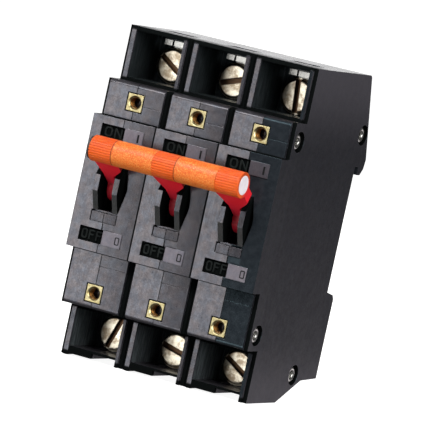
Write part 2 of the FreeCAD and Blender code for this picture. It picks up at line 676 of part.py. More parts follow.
# ---------------------------------------------------------------- switching mechanism
def contact_arm(pole_name):
    """Copper arm with a pivot hub, a tail that takes the link pin, and a silver-faced tip."""
    arm = body("contact_arm_of_%s_pole" % pole_name, POLES[pole_name])
    pad(arm, [(depth(arm_depth), arm_height, Size(2.6))], Size(-2.5), Size(2.5))
    leg = [(depth(arm_front), arm_height), (depth(arm_front) + arm_thick, arm_height),
           (depth(arm_front) + arm_thick, arm_top), (depth(arm_front), arm_top)]
    foot = [(depth(arm_depth), arm_height - 2.0), (depth(arm_depth) + 2.4, arm_height - 1.0),
            (depth(arm_front) + arm_thick, arm_height + 3), (depth(arm_depth), arm_height + 2.4)]
    pad(arm, [leg], Size(-2.5), Size(2.5))
    pad(arm, [foot], Size(-2.5), Size(2.5))
    tail_y, tail_z = tail_point()
    tail = [(tail_y, tail_z - 1.3), (depth(arm_depth), arm_height - 1.6),
            (depth(arm_depth), arm_height + 1.6), (tail_y, tail_z + 1.3)]
    pad(arm, [tail], -stem_half, stem_half)
    pad(arm, [(tail_y, tail_z, Size(1.3))], -stem_half, stem_half)
    pad(arm, [(tail_y, tail_z, link_pin)], stem_half - 0.2, Size(2.2))
    pocket(arm, [(depth(arm_depth), arm_height, arm_pin + running)], Size(-3), Size(3))


def tail_point():
    angle = math.radians(ARM_SWING / 2)
    return (depth(arm_depth) - tail_long * math.cos(angle),
            arm_height - tail_long * math.sin(angle))


def button(name, pole_name, face, direction):
    """A silver contact button whose domed face looks along direction (+1 rear, -1 front)."""
    new = body("%s_of_%s_pole" % (name, pole_name), POLES[pole_name])
    height = contact_height.value
    profile = [(0, 0), (0, 1.0), (1.4, 0.9), (2.0, 0.6), (2.0, 0)]
    revolve(new, [(radius, along) for radius, along in profile])
    turn = FreeCAD.Rotation(V(0, 0, 1), 90 * direction)
    new.Placement = FreeCAD.Placement(V(POLES[pole_name] * pitch.value, face, height), turn)
    return new


def toggle_link(pole_name):
    """Flat steel link from the handle's crank pin to the arm's tail; its lower eye is a slot."""
    link = body("toggle_link_of_%s_pole" % pole_name, POLES[pole_name])
    top_y, top_z = crank_point()
    low_y, low_z = tail_point()
    eye = Size(1.55)
    slack = Size(0.7)
    near, far = stem_half + 0.15, Size(2.15)
    strip = [(low_y - slack - 0.6, low_z), (low_y + 1.3, low_z), (top_y + 1.3, top_z), (top_y - 1.3, top_z)]
    pad(link, [strip], near, far)
    pad(link, [(top_y, top_z, eye)], near, far)
    pad(link, [(low_y, low_z, eye)], near, far)
    pad(link, [(low_y - slack, low_z, eye)], near, far)
    hole = link_pin + running
    pocket(link, [(top_y, top_z, hole)], near - 0.1, far + 0.1)
    slot = rectangle(low_y - slack, low_y, low_z - hole, low_z + hole)
    pocket(link, [slot], near - 0.1, far + 0.1)
    pocket(link, [(low_y, low_z, hole)], near - 0.1, far + 0.1)
    pocket(link, [(low_y - slack, low_z, hole)], near - 0.1, far + 0.1)


def pivot_pins(label, radius, y, z, reach):
    return group(label, [cylinder(radius, pole * pitch - reach, pole * pitch + reach, y, z)
                         for pole in POLES.values()])


def torsion_spring(mean_radius, wire, width, turns, x_start, y, z):
    """A return spring that lies round a pivot pin."""
    spring = coil_spring(mean_radius, wire, width, turns)
    spring.rotate(V(0, 0, 0), V(0, 1, 0), 90)
    spring.translate(V(as_size(x_start).value, as_size(y).value, as_size(z).value))
    return spring


# ---------------------------------------------------------------- conductors
def line_strap(pole_name):
    """Copper strap from the upper terminal down to the fixed contact."""
    strap = body("line_strap_of_%s_pole" % pole_name, POLES[pole_name])
    front, back = depth(strap_front), depth(strap_front) + strap_thick
    inner_front = depth(20.6)
    inner_back = inner_front + strap_thick
    top, bend, low = Size(39.8), Size(27.6), Size(13.0)
    outline = [(front, bend), (front, top), (back, top), (back, bend - strap_thick),
               (inner_back, bend - strap_thick), (inner_back, low), (inner_front, low),
               (inner_front, bend)]
    pad(strap, [outline], -strap_half, strap_half)
    drill_for_screw(strap, screw_up)


def load_strap(pole_name):
    """Copper strap from the lower terminal up to the coil lead."""
    strap = body("load_strap_of_%s_pole" % pole_name, POLES[pole_name])
    front, back = depth(strap_front), depth(strap_front) + strap_thick
    pad(strap, [rectangle(front, back, Size(-42.8), Size(-22))], -strap_half, strap_half)
    drill_for_screw(strap, -screw_down)


def drill_for_screw(strap, height):
    """The tapped hole of the terminal screw; the XZ plane's normal points to -Y."""
    hole = (Size(0), height, shank_radius + running)
    pocket(strap, [hole], -depth(strap_front) - 3, -depth(strap_front) + 1, "XZ_Plane")


def terminal_screw(pole, height, slot_angle):
    """Slotted pan-head screw along Y; the slot turns clockwise from level by slot_angle."""
    face = depth(screw_front).value
    radius, high, bevel = screw_radius.value, screw_head.value, 0.7
    shank_end = depth(30.8).value
    along, middle = V(0, 1, 0), V(0, 0, 0)
    head = Part.makeCylinder(radius, high - bevel, V(0, face + bevel, 0), along)
    dome = Part.makeCone(radius - 0.9, radius, bevel, V(0, face, 0), along)
    shank = Part.makeCylinder(shank_radius.value, shank_end - face - high, V(0, face + high, 0), along)
    screw = head.fuse([dome, shank]).removeSplitter()
    slot = block(-radius - 1, radius + 1, face - 1, face + slot_deep.value, -slot_wide / 2, slot_wide / 2)
    slot.rotate(middle, along, slot_angle)
    screw = screw.cut(slot)
    screw.translate(V(pole * pitch.value, 0, height.value))
    return screw


def clamp_plate(pole, height, with_ears):
    """Square clamp washer under the screw head; the upper ones have two ears bent forward."""
    back = depth(screw_front + screw_head) + 1.02
    front = back - 1.0
    plate = block(-clamp_half, clamp_half, front, back, -clamp_half, clamp_half)
    hole = Part.makeCylinder(shank_radius.value + 0.15, 3, V(0, front.value - 1, 0), V(0, 1, 0))
    if with_ears:
        top = ear_low + ear_high
        neck = block(-1.5, 1.5, front, back, clamp_half - 0.2, ear_low + 0.2)
        bar = block(-3.3, 3.3, front, back, ear_low, top)
        ears = [block(low, high, front - ear_reach, front + 0.2, ear_low, top)
                for low, high in ((-3.3, -0.9), (-0.4, 3.3))]
        plate = plate.fuse([neck, bar] + ears).removeSplitter()
    plate = plate.cut(hole)
    plate.translate(V(pole * pitch.value, 0, height.value))
    return plate


def thread_insert(pole, height):
    """Square brass insert with a countersunk 6-32 hole."""
    side = insert_side.value / 2
    face = depth(nut_step).value - 0.05
    long = insert_long.value - 0.05
    insert = block(-side, side, face, face + long, -side, side)
    hole = Part.makeCylinder(thread_radius.value, long + 2, V(0, face - 1, 0), V(0, 1, 0))
    sink = Part.makeCone(thread_radius.value + 0.4, thread_radius.value, 0.4, V(0, face, 0), V(0, 1, 0))
    insert = insert.cut(hole).cut(sink)
    insert.translate(V(pole * pitch.value, 0, height.value))
    return insert


def braid(pole):
    """Flexible copper braid from the coil lead to the arm's hub."""
    x = pole * pitch.value
    points = [(32.0, -28.0 + 0.9), (29.0, -26.2), (27.0, -22.0), (26.6, -16.0), (25.0, -11.4)]
    path = Part.BSplineCurve()
    path.interpolate([V(x, depth(y).value, z) for y, z in points])
    start = path.value(path.FirstParameter)
    ring = Part.Wire(Part.makeCircle(0.8, start, path.tangent(path.FirstParameter)[0]))
    return Part.Wire(path.toShape()).makePipeShell([ring], True, True)


# ---------------------------------------------------------------- magnetic trip
def bobbin(pole_name):
    spool = body("bobbin_of_%s_pole" % pole_name, POLES[pole_name])
    bore, barrel, flange = tube_radius + 0.08, tube_radius + 0.8, coil_radius + 0.2
    return outline_about_z(spool, [
        (bore, coil_low), (flange, coil_low), (flange, coil_low + 0.8), (barrel, coil_low + 0.8),
        (barrel, coil_top - 0.8), (flange, coil_top - 0.8), (flange, coil_top), (bore, coil_top)])


def coil(pole_name):
    """Winding with one scallop per turn."""
    winding = body("coil_of_%s_pole" % pole_name, POLES[pole_name])
    low, high = coil_low + 0.85, coil_top - 0.85
    turns = 9
    step = (high - low) / turns
    outline = [(tube_radius + 0.85, low)]
    for i in range(turns):
        outline += [(coil_radius - 0.5, low + step * i), (coil_radius, low + step * (i + 0.25)),
                    (coil_radius, low + step * (i + 0.75))]
    outline += [(coil_radius - 0.5, high), (tube_radius + 0.85, high)]
    outline_about_z(winding, outline)


def outline_about_z(owner, corners):
    """Revolve (radius, height) corners about the coil axis."""
    sketch = sketch_on(owner, 0, "XZ_Plane")
    draw_outline(sketch, corners)
    turn = owner.newObject("PartDesign::Revolution", "Revolution")
    turn.Profile = sketch
    turn.ReferenceAxis = (sketch, ["V_Axis"])
    turn.Angle = 360
    doc.recompute()
    owner.Placement.Base = V(owner.Placement.Base.x, depth(coil_depth).value, 0)
    owner.setExpression("Placement.Base.y", depth(coil_depth).formula)
    return owner


def dashpot_tube(pole_name):
    """Sealed tube with the moving core inside, here one piece with its end cap."""
    tube = body("dashpot_tube_of_%s_pole" % pole_name, POLES[pole_name])
    end, bevel, top = Size(-28.3), 0.6, Size(-3.62)
    return outline_about_z(tube, [(Size(0), end), (tube_radius - bevel, end), (tube_radius, end + bevel),
                                  (tube_radius, top), (Size(0), top)])


def pole_piece(pole_name):
    cap = body("pole_piece_of_%s_pole" % pole_name, POLES[pole_name])
    return outline_about_z(cap, [(Size(0), Size(-3.6)), (Size(4.2), Size(-3.6)), (Size(4.6), Size(-3.2)),
                                 (Size(4.6), Size(-2.25)), (Size(0), Size(-2.25))])


def yoke(pole_name):
    """L-shaped steel frame: the bottom plate carries the tube, the back plate the armature."""
    frame = body("yoke_of_%s_pole" % pole_name, POLES[pole_name])
    outline = [(depth(33.2), Size(-27.2)), (depth(44.9), Size(-27.2)), (depth(44.9), Size(-3.6)),
               (depth(43.8), Size(-3.6)), (depth(43.8), Size(-26.0)), (depth(33.2), Size(-26.0))]
    pad(frame, [outline], Size(-5.5), Size(5.5))
    hole = (Size(0), depth(coil_depth), tube_radius + 0.06)
    pocket(frame, [hole], Size(-27.5), Size(-25.8), "XY_Plane")


def armature(pole_name):
    """Hinged steel flap above the pole piece, drawn closed and then raised to its rest angle."""
    flap = body("armature_of_%s_pole" % pole_name, POLES[pole_name])
    hinge_y, hinge_z = depth(hinge_depth), hinge_height
    plate = rectangle(depth(29.8) - hinge_y, Size(-0.4), Size(-0.6), Size(0.6))
    pad(flap, [plate], Size(-4.5), Size(4.5))
    pad(flap, [(Size(0), Size(0), Size(1.0))], Size(-4.5), Size(4.5))
    pad(flap, [(Size(0), Size(0), trunnion_radius)], Size(-8.3), Size(8.3))
    x = POLES[pole_name] * pitch.value
    raised = FreeCAD.Rotation(V(1, 0, 0), -armature_tilt.value)
    flap.Placement = FreeCAD.Placement(V(x, hinge_y.value, hinge_z.value), raised)


def trip_bar():
    """Common trip bar through all poles with one toe under each armature."""
    bar = body("trip_bar")
    centre = (depth(trip_depth), trip_height, trip_radius)
    end = pitch * 1.5 - 0.95
    pad(bar, [centre], -end, end)
    toe = [(depth(trip_depth), trip_height - 0.5), (depth(31.6), trip_height - 0.2),
           (depth(31.6), trip_height + 0.8), (depth(trip_depth), trip_height + 1.2)]
    for pole in POLES.values():
        pad(bar, [toe], pitch * pole - 2.5, pitch * pole + 2.5)


# ---------------------------------------------------------------- arc chute
def arc_plates(pole):
    """Steel splitter plates with a notch for the arc, held apart above the contact tip."""
    plates = []
    x = pole * pitch.value
    count, step, thick = 5, 2.2, 1.0
    for i in range(count):
        y = depth(24.6).value + step * i
        plate = block(x - 5.4, x + 5.4, y, y + thick, 18.3, 26.0)
        mouth = [V(x - 2.2, y - 1, 18), V(x + 2.2, y - 1, 18), V(x, y - 1, 22.5)]
        notch = Part.makePolygon(mouth + mouth[:1])
        plates.append(plate.cut(Part.Face(notch).extrude(V(0, 3, 0))))
    return plates


def chute_sides():
    """Fibre side plates that hold the splitter plates."""
    sides = []
    for pole in POLES.values():
        x = pole * pitch.value
        for low in (-6.4, 5.5):
            sides.append(block(x + low, x + low + 0.9, depth(23.6), depth(35.4), 18.1, 26.2))
    return sides


# ---------------------------------------------------------------- rail latch
def rail_latch(pole_name):
    """Slider that hooks the lower edge of the rail and pulls down to let go."""
    latch = body("rail_latch_of_%s_pole" % pole_name, POLES[pole_name])
    tip = -hook_half + 1.5
    foot = -heel_low - 3.0
    inside = [(rail_slot, foot), (rail_slot + latch_thick, foot), (rail_slot + latch_thick, tip - 1),
              (rail_slot + 0.9, tip), (rail_slot, tip)]
    pad(latch, [inside], Size(-2.9), Size(2.9))
    outside = rectangle(rail_slot + latch_thick - 0.05, heel_back - 0.15, foot, -hook_half - 2.2)
    pad(latch, [outside], Size(-2.1), Size(2.1))
    lug = rectangle(Size(-1.1), rail_slot + 0.2, Size(-31.2), Size(-29.9))
    pad(latch, [lug], Size(-1.2), Size(1.2))
    window = rectangle(Size(-1.1), Size(1.1), -heel_low - 2.2, -heel_low - 1.0)
    pocket(latch, [window], Size(-6), Size(0), "XZ_Plane")


def latch_spring(pole):
    spring = coil_spring(0.8, 0.4, 6.6, 8)
    spring.translate(V(pole * pitch.value, 0.05, -38.1))
    return spring


# ---------------------------------------------------------------- assembly
def gather(label, pieces):
    """Put identical pieces of the three poles in one node."""
    node = doc.addObject("Part::Compound", label)
    node.Label = label
    node.Links = pieces
    for piece in pieces:
        parts.remove(piece)
    parts.append(node)


def build_pole(pole_name):
    for side_name in SIDES:
        half_shell(pole_name, side_name)
    handle(pole_name)
    toggle_link(pole_name)
    contact_arm(pole_name)
    button("moving_contact", pole_name, depth(arm_front).value, -1)
    line_strap(pole_name)
    load_strap(pole_name)
    coil(pole_name)
    yoke(pole_name)
    armature(pole_name)
    rail_latch(pole_name)
    group("latch_spring_of_%s_pole" % pole_name, [latch_spring(POLES[pole_name])])


def build_shared():
    """Pieces that cross the poles, and the identical pieces that share a node."""
    fixed_face = depth(20.6 + strap_thick).value
    gather("fixed_contacts", [button("fixed_contact", name, fixed_face, 1) for name in POLES])
    gather("bobbins", [bobbin(name) for name in POLES])
    gather("dashpot_tubes", [dashpot_tube(name) for name in POLES])
    gather("pole_pieces", [pole_piece(name) for name in POLES])
    tie_sleeve(1, -1)
    tie_sleeve(2, 0)
    tie_rod()
    trip_bar()

    poles = list(POLES.values())
    group("arc_plates", [plate for pole in poles for plate in arc_plates(pole)])
    group("arc_chute_sides", chute_sides())
    pivot_pins("handle_pins", pin_radius, depth(pivot_depth), pivot_height, 7.2)
    pivot_pins("arm_pins", arm_pin, depth(arm_depth), arm_height, 7.2)
    group("handle_springs", [
        torsion_spring(1.6, 0.5, 2.6, 3.5, pole * pitch - 4.8, depth(pivot_depth), pivot_height)
        for pole in poles])
    group("arm_springs", [
        torsion_spring(2.0, 0.6, 2.0, 3, pole * pitch - 4.95, depth(arm_depth), arm_height)
        for pole in poles])
    group("braids", [braid(pole) for pole in poles])

    slots = {(-1, 1): 33, (0, 1): -18, (1, 1): 85, (-1, -1): -70, (0, -1): 14, (1, -1): 31}
    places = [(pole, level, screw_up if level > 0 else -screw_down) for pole, level in slots]
    group("terminal_screws", [terminal_screw(pole, z, slots[pole, level]) for pole, level, z in places])
    group("clamp_plates", [clamp_plate(pole, z, level > 0) for pole, level, z in places])
    group("thread_inserts", [thread_insert(pole, z) for pole in poles for z in (insert_up, -insert_down)])
    group("case_rivets", [case_rivet(y, z) for y, z in RIVETS])


def case_rivet(y, z):
    """One tubular rivet through all three poles, with a rolled lip in each counterbore."""
    end = (pitch * 1.5 - pole_gap / 2 - sink_depth).value
    lip = lip_thick.value
    lip_x = end + lip + 0.02
    bore = rivet_radius - 0.4
    shank = cylinder(rivet_radius, -lip_x, lip_x, y, z)
    lips = [Part.makeTorus(rivet_head.value - lip, lip, V(x, y.value, z.value), V(1, 0, 0))
            for x in (-lip_x, lip_x)]
    bores = [cylinder(bore, low, low + 2.0, y, z) for low in (-lip_x - 1.0, lip_x - 1.0)]
    return shank.fuse(lips).removeSplitter().cut(bores)


def check_and_export():
    """Stop on any failed object or bad shape, then write one STEP file per node."""
    doc.recompute()
    for obj in doc.Objects:
        if {"Invalid", "Error"} & set(obj.State):
            raise RuntimeError("%s failed: %s" % (obj.Label, obj.State))
    os.makedirs("parts", exist_ok=True)
    for part in parts:
        if part.Shape.isNull() or not part.Shape.isValid() or not part.Shape.Solids:
            raise RuntimeError("bad shape: " + part.Label)
        part.Shape.exportStep("parts/%s.step" % part.Label)


for name_of_pole in POLES:
    build_pole(name_of_pole)
build_shared()
check_and_export()
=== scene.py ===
import json
import math

import bmesh
import bpy
from mathutils import Matrix, Vector


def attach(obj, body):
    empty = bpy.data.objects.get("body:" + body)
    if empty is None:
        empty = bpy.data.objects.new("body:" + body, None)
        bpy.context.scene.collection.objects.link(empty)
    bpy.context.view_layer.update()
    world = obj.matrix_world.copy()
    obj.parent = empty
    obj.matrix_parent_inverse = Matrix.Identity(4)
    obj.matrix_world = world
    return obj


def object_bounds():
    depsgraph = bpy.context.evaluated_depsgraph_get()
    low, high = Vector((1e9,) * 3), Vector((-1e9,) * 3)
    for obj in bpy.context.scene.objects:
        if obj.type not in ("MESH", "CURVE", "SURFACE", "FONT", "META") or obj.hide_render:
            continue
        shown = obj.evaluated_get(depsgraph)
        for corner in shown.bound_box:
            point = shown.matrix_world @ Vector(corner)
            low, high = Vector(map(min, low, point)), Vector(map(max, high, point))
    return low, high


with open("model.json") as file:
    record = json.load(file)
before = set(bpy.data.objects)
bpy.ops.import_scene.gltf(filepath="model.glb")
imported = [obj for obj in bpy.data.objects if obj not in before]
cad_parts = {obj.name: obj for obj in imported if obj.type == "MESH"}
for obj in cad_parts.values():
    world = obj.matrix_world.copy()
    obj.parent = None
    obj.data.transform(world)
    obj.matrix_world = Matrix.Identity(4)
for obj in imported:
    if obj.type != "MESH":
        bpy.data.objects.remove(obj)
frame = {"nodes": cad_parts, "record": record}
CAD_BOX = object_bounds()
NODES = frame["nodes"]

MM = 0.001
POLES = {"left": -1, "centre": 0, "right": 1}

# Positions that the looks share with the CAD, in millimetres. X is from the middle of the row, or of a
# pole where pole_x is meant, Y from the rail seat, Z from the origin's height.
PITCH = 19.05
PANEL_Y = -46.9
NUT_Y = -43.3
RECESS_Y = -46.1
CORE_LEFT = -8.575
CORE_RIGHT = 8.225
BAR_AXIS = (-57.3, 10.85)
WEB_WAY = (0.842, -0.539)
BARREL_END = 5.05
FIN_OUT = 3.8
FIN_SLOPE_Z = 3.7
FIN_KNEE_Z = -0.7
FIN_LOW_Z = -6.1
FIN_TOP_Z = 9.0
STOP_Z = (-8.8, -6.4)
WELL_OUT = 5.4
WELL_FRONT_Y = PANEL_Y + 2.6
INSERT_HEIGHTS = (24.0, -28.37)
SCREW_HEIGHTS = (35.0, -39.4)
LABEL_X = (-6.4, 0.8)
PAD_X = (0.8, 6.5)
UPPER_LABEL_Z = (13.2, 17.0)
LOWER_LABEL_Z = (-14.8, -10.9)
FLANK_X = 28.5
POLE_EDGE = 9.3
PANEL_TOP = 19.1
PANEL_LOW = -17.1
WALL_Y = -37.1
WALL_LEFT = (-8.6, -7.25)
WALL_RIGHT = (7.35, 8.25)
WALL_SPANS = ((29.9, 42.9), (-45.6, -33.8))
RIVETS = ((-38.7, 24.0), (-38.7, -28.37), (0.7, 27.4), (-10.4, -39.4))
SINK_RADIUS = 2.95
SINK_X = 26.3
CHAMBER_X = (-7.6, 7.5)
CHAMBER_Y = (-36.7, -18)
CHAMBER_Z = (-44.4, 42.65)
FRONTS_END_Y = (-40.4, -39.6)
AT_PANEL_Y = (-45.9, -45.7)
OFF_PANEL_Y = (-46.0, -45.8)
SHADED_X = (-14, 26)
UPPER_END_Z = (20, 43)
LOWER_END_Z = (-48, -28)
LEDGES_Y = (-30, -28)
COOL_Z = (-18, 2)
SLOT_WALL_Y = (-26.05, -24.6)
SCREW_RIM = (4.5, 4.7)
INSERT_HOLE = (1.62, 1.9)
THREAD_ROOT = 1.57
THREAD_CREST = 1.33
THREAD_LEAD = 0.79
THREAD_Y = (NUT_Y + 0.55, NUT_Y + 2.9)

# Width of the ramp at the ends of a painted zone, in millimetres.
SHARP = 0.02
CRISP = 0.03
SOFT = 0.05


def srgb(red, green, blue):
    """Linear colour from display values of 0 to 255."""
    def linear(value):
        value /= 255
        return value / 12.92 if value <= 0.04045 else ((value + 0.055) / 1.055) ** 2.4
    return (linear(red), linear(green), linear(blue), 1.0)


# ---------------------------------------------------------------- node graphs
class Graph:
    """One material. Its helpers return sockets, so a look reads as an expression."""

    def __init__(self, name):
        self.material = bpy.data.materials.new(name)
        self.material.use_nodes = True
        self.tree = self.material.node_tree
        self.tree.nodes.clear()
        place = self.node("ShaderNodeTexCoord").outputs["Object"]
        self.place = self.vector("SCALE", place, scale=1 / MM)
        apart = self.node("ShaderNodeSeparateXYZ", {"Vector": self.place})
        self.x, self.y, self.z = apart.outputs
        self.pole_x = self.math("WRAP", self.x, PITCH / 2, -PITCH / 2)

    def node(self, kind, inputs=None, **settings):
        made = self.tree.nodes.new(kind)
        for name, value in settings.items():
            setattr(made, name, value)
        for key, value in (inputs or {}).items():
            if isinstance(value, bpy.types.NodeSocket):
                self.tree.links.new(value, made.inputs[key])
            else:
                made.inputs[key].default_value = value
        return made

    def math(self, operation, a, b=0.0, c=0.0):
        return self.node("ShaderNodeMath", {0: a, 1: b, 2: c}, operation=operation).outputs[0]

    def vector(self, operation, a, b=None, scale=None):
        inputs = {0: a}
        if b is not None:
            inputs[1] = b
        if scale is not None:
            inputs["Scale"] = scale
        made = self.node("ShaderNodeVectorMath", inputs, operation=operation)
        return made.outputs["Value" if operation in ("DOT_PRODUCT", "LENGTH") else "Vector"]

    def between(self, value, low, high, soft=SOFT):
        """1 inside low..high, 0 outside, with a ramp soft wide at either end."""
        rise = self.ramp(value, low - soft, low + soft)
        fall = self.ramp(value, high - soft, high + soft, 1, 0)
        return self.math("MULTIPLY", rise, fall)

    def ramp(self, value, low, high, start=0.0, end=1.0):
        """Smooth step from start, where value is low, to end, where it is high."""
        inputs = {"Value": value, "From Min": low, "From Max": high, "To Min": start, "To Max": end}
        return self.node("ShaderNodeMapRange", inputs, interpolation_type="SMOOTHSTEP").outputs[0]

    def mix(self, share, a, b):
        """Colour a where share is 0, b where it is 1."""
        made = self.node("ShaderNodeMix", data_type="RGBA")
        for key, value in ((0, share), (6, a), (7, b)):
            if isinstance(value, bpy.types.NodeSocket):
                self.tree.links.new(value, made.inputs[key])
            else:
                made.inputs[key].default_value = value
        return made.outputs[2]

    def stretch(self, x=1.0, y=1.0, z=1.0):
        """The place in millimetres, scaled per axis: a small factor draws a noise out along it."""
        return self.vector("MULTIPLY", self.place, (x, y, z))

    def noise(self, scale, detail=3.0, rough=0.55, place=None):
        inputs = {"Vector": place or self.place, "Scale": scale, "Detail": detail, "Roughness": rough}
        return self.node("ShaderNodeTexNoise", inputs).outputs["Fac"]

    def radius(self, a, b):
        """Distance from the axis where a and b are 0."""
        return self.math("SQRT", self.math("MULTIPLY_ADD", a, a, self.math("MULTIPLY", b, b)))

    def normal(self):
        return self.node("ShaderNodeNewGeometry").outputs["Normal"]

    def round_edge(self, radius):
        """Shading normal of an edge rounded by radius millimetres."""
        return self.node("ShaderNodeBevel", {"Radius": radius * MM}, samples=6).outputs[0]

    def edge_mask(self, radius):
        """1 on edges, 0 on open faces."""
        flat = self.vector("DOT_PRODUCT", self.round_edge(radius), self.normal())
        return self.ramp(flat, 0.995, 0.86)

    def bump(self, height, depth, normal=None):
        inputs = {"Height": height, "Distance": depth * MM, "Strength": 1.0}
        if normal is not None:
            inputs["Normal"] = normal
        return self.node("ShaderNodeBump", inputs).outputs[0]

    def surface(self, **inputs):
        named = {key.replace("_", " "): value for key, value in inputs.items()}
        shader = self.node("ShaderNodeBsdfPrincipled", named)
        self.node("ShaderNodeOutputMaterial", {"Surface": shader.outputs[0]})
        return self.material


# ---------------------------------------------------------------- materials
def joined(g, operation, masks):
    result = masks[0]
    for mask in masks[1:]:
        result = g.math(operation, result, mask)
    return result


def any_of(g, masks):
    """1 where at least one of the masks is 1."""
    return joined(g, "MAXIMUM", masks)


def all_of(g, masks):
    """1 only where all the masks are 1."""
    return joined(g, "MULTIPLY", masks)


def label_bands(g, soft):
    """1 at the heights of the two label rows."""
    return any_of(g, [g.between(g.z, *UPPER_LABEL_Z, soft), g.between(g.z, *LOWER_LABEL_Z, soft)])


def chamber_mask(g):
    """1 inside the terminal chambers."""
    return all_of(g, [g.between(g.pole_x, *CHAMBER_X, SHARP), g.between(g.y, *CHAMBER_Y, 0.4),
                      g.between(g.z, *CHAMBER_Z)])


def case_shade(g, flank):
    """1 where the case is painted black: painted shade in its rabbets, pole borders, wall fronts, steps, fin
    sides, fin tops and counterbores, dark joint lines along the seams, and the dark label recesses.
    """
    at_front = g.ramp(g.y, *FRONTS_END_Y, 1, 0)
    at_panel = g.ramp(g.y, *AT_PANEL_Y, 1, 0)
    at_wall = g.between(g.y, WALL_Y - 0.4, WALL_Y + 1.1)
    beside = any_of(g, [g.math("LESS_THAN", g.pole_x, CORE_LEFT - 0.02),
                        g.math("GREATER_THAN", g.pole_x, CORE_RIGHT + 0.02)])
    outer = g.math("ABSOLUTE", g.x)
    within = g.math("LESS_THAN", outer, FLANK_X)
    rabbet = all_of(g, [beside, at_front, g.ramp(g.y, *OFF_PANEL_Y), within])
    aside = g.math("ABSOLUTE", g.pole_x)
    border = all_of(g, [g.ramp(aside, POLE_EDGE - 0.04, POLE_EDGE + 0.04), at_panel,
                        g.between(g.x, 0.3 - FLANK_X, FLANK_X - 0.3)])
    seam = all_of(g, [g.between(g.pole_x, -0.1, 0.1), at_front])
    label = all_of(g, [label_bands(g, SHARP),
                       g.between(g.pole_x, LABEL_X[0] - 0.05, LABEL_X[1] - 0.03, SHARP),
                       g.between(g.y, PANEL_Y + 0.1, RECESS_Y + 0.2, CRISP)])

    strip = any_of(g, [g.between(g.pole_x, *WALL_LEFT, 0.04), g.between(g.pole_x, *WALL_RIGHT, 0.04)])
    tall = any_of(g, [g.between(g.z, *span, 0.3) for span in WALL_SPANS])
    wall = all_of(g, [at_wall, within, g.math("SUBTRACT", 1.0, all_of(g, [strip, tall]))])

    steps = any_of(g, [g.between(g.z, PANEL_TOP - 0.04, PANEL_TOP + 0.22, CRISP),
                       g.between(g.z, PANEL_LOW - 0.55, PANEL_LOW - 0.02, CRISP)])
    step = all_of(g, [steps, g.between(g.y, PANEL_Y + 0.15, NUT_Y + 0.1)])
    sinks = []
    for y, z in RIVETS:
        away = g.radius(g.math("SUBTRACT", g.y, y), g.math("SUBTRACT", g.z, z))
        sinks.append(g.ramp(away, SINK_RADIUS - 0.1, SINK_RADIUS, 1, 0))
    sink = all_of(g, [any_of(g, sinks), g.between(outer, SINK_X, FLANK_X - 0.1, CRISP)])
    fin_top = all_of(g, [g.ramp(g.z, FIN_SLOPE_Z - 0.1, FIN_SLOPE_Z),
                         g.ramp(g.z, FIN_TOP_Z, FIN_TOP_Z + 0.2, 1, 0),
                         g.ramp(g.y, PANEL_Y - 0.1, PANEL_Y, 1, 0),
                         g.ramp(aside, FIN_OUT - 0.1, FIN_OUT, 1, 0)])
    fin_side = all_of(g, [flank, g.ramp(aside, WELL_OUT, WELL_OUT + 0.2, 1, 0),
                          g.ramp(g.y, WELL_FRONT_Y, WELL_FRONT_Y + 0.1, 1, 0)])
    return any_of(g, [rabbet, border, seam, label, wall, step, sink, fin_top, fin_side])


